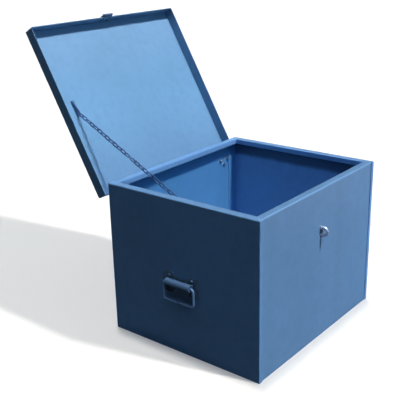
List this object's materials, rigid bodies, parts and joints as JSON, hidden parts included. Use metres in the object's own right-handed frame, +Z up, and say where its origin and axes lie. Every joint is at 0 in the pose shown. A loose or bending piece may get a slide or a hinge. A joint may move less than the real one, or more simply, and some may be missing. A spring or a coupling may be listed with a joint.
{
  "type": "steel storage chest",
  "caption": "Open-topped folded-steel storage chest with a pan lid on butt hinges, a stay chain, drop handles on the ends, and a hasp and padlock staple.",
  "frame": {"origin": "centre of the box's base, on the floor", "axes": "+Z up; -Y the front with the staple; +Y the hinge side; -X the end with the stay chain"},
  "size_m": [0.753, 1.0561, 1.0224],
  "materials": {
    "chest_paint": "satin blue enamel",
    "fitting_paint": "satin dark blue enamel over steel",
    "plated_steel": "dull zinc plate"
  },
  "bodies": {
    "box": {"front_panel": "chest_paint", "back_panel": "chest_paint", "left_side_panel": "chest_paint", "right_side_panel": "chest_paint", "floor_panel": "chest_paint", "left_hinge_box_leaf": "fitting_paint", "right_hinge_box_leaf": "fitting_paint", "left_hinge_pin": "plated_steel", "right_hinge_pin": "plated_steel", "hinge_box_bolts": "plated_steel", "hinge_box_nuts": "plated_steel", "left_handle_plate": "fitting_paint", "right_handle_plate": "fitting_paint", "left_handle_sleeve": "fitting_paint", "right_handle_sleeve": "fitting_paint", "left_handle_rivets": "fitting_paint", "right_handle_rivets": "fitting_paint", "staple": "fitting_paint", "staple_nuts": "fitting_paint", "chain_box_anchor": "fitting_paint"},
    "lid": {"lid_pan": "chest_paint", "left_hinge_lid_leaf": "fitting_paint", "right_hinge_lid_leaf": "fitting_paint", "hinge_lid_bolts": "plated_steel", "hasp_leaf": "fitting_paint", "hasp_pin": "plated_steel", "hasp_rivets": "fitting_paint", "chain_lid_bracket": "fitting_paint"},
    "hasp_strap": {"hasp_strap": "fitting_paint"},
    "left_bail": {"left_handle_bail": "fitting_paint"},
    "right_bail": {"right_handle_bail": "fitting_paint"},
    "chain_lid_run": {"chain_lid_run": "plated_steel"},
    "chain_box_run": {"chain_box_run": "plated_steel"}
  },
  "joints": [
    {"name": "lid_hinge", "type": "hinge", "parent": "box", "child": "lid", "pos_m": [0, 0.3045, 0.4865], "axis": [1, 0, 0], "range_deg": [0, 119.5]},
    {"name": "hasp_hinge", "type": "hinge", "parent": "lid", "child": "hasp_strap", "pos_m": [0, 0.60804, 1.01793], "axis": [1, 0, 0], "range_deg": [0, 180]},
    {"name": "left_bail_swing", "type": "hinge", "parent": "box", "child": "left_bail", "pos_m": [-0.3645, 0, 0.252], "axis": [0, 1, 0], "range_deg": [-5, 180]},
    {"name": "right_bail_swing", "type": "hinge", "parent": "box", "child": "right_bail", "pos_m": [0.3645, 0, 0.252], "axis": [0, -1, 0], "range_deg": [-5, 180]},
    {"name": "chain_lid_pivot", "type": "hinge", "parent": "lid", "child": "chain_lid_run", "pos_m": [-0.294, 0.47538, 0.72761], "axis": [1, 0, 0], "range_deg": [-78, 0]},
    {"name": "chain_box_pivot", "type": "hinge", "parent": "box", "child": "chain_box_run", "pos_m": [-0.3135, 0, 0.5], "axis": [1, 0, 0], "range_deg": [-120, 0]}
  ],
  "couplings": [
    {"joint": "chain_lid_pivot", "follows": "lid_hinge", "ratio": -0.6283},
    {"joint": "chain_box_pivot", "follows": "lid_hinge", "ratio": -0.9672}
  ]
}
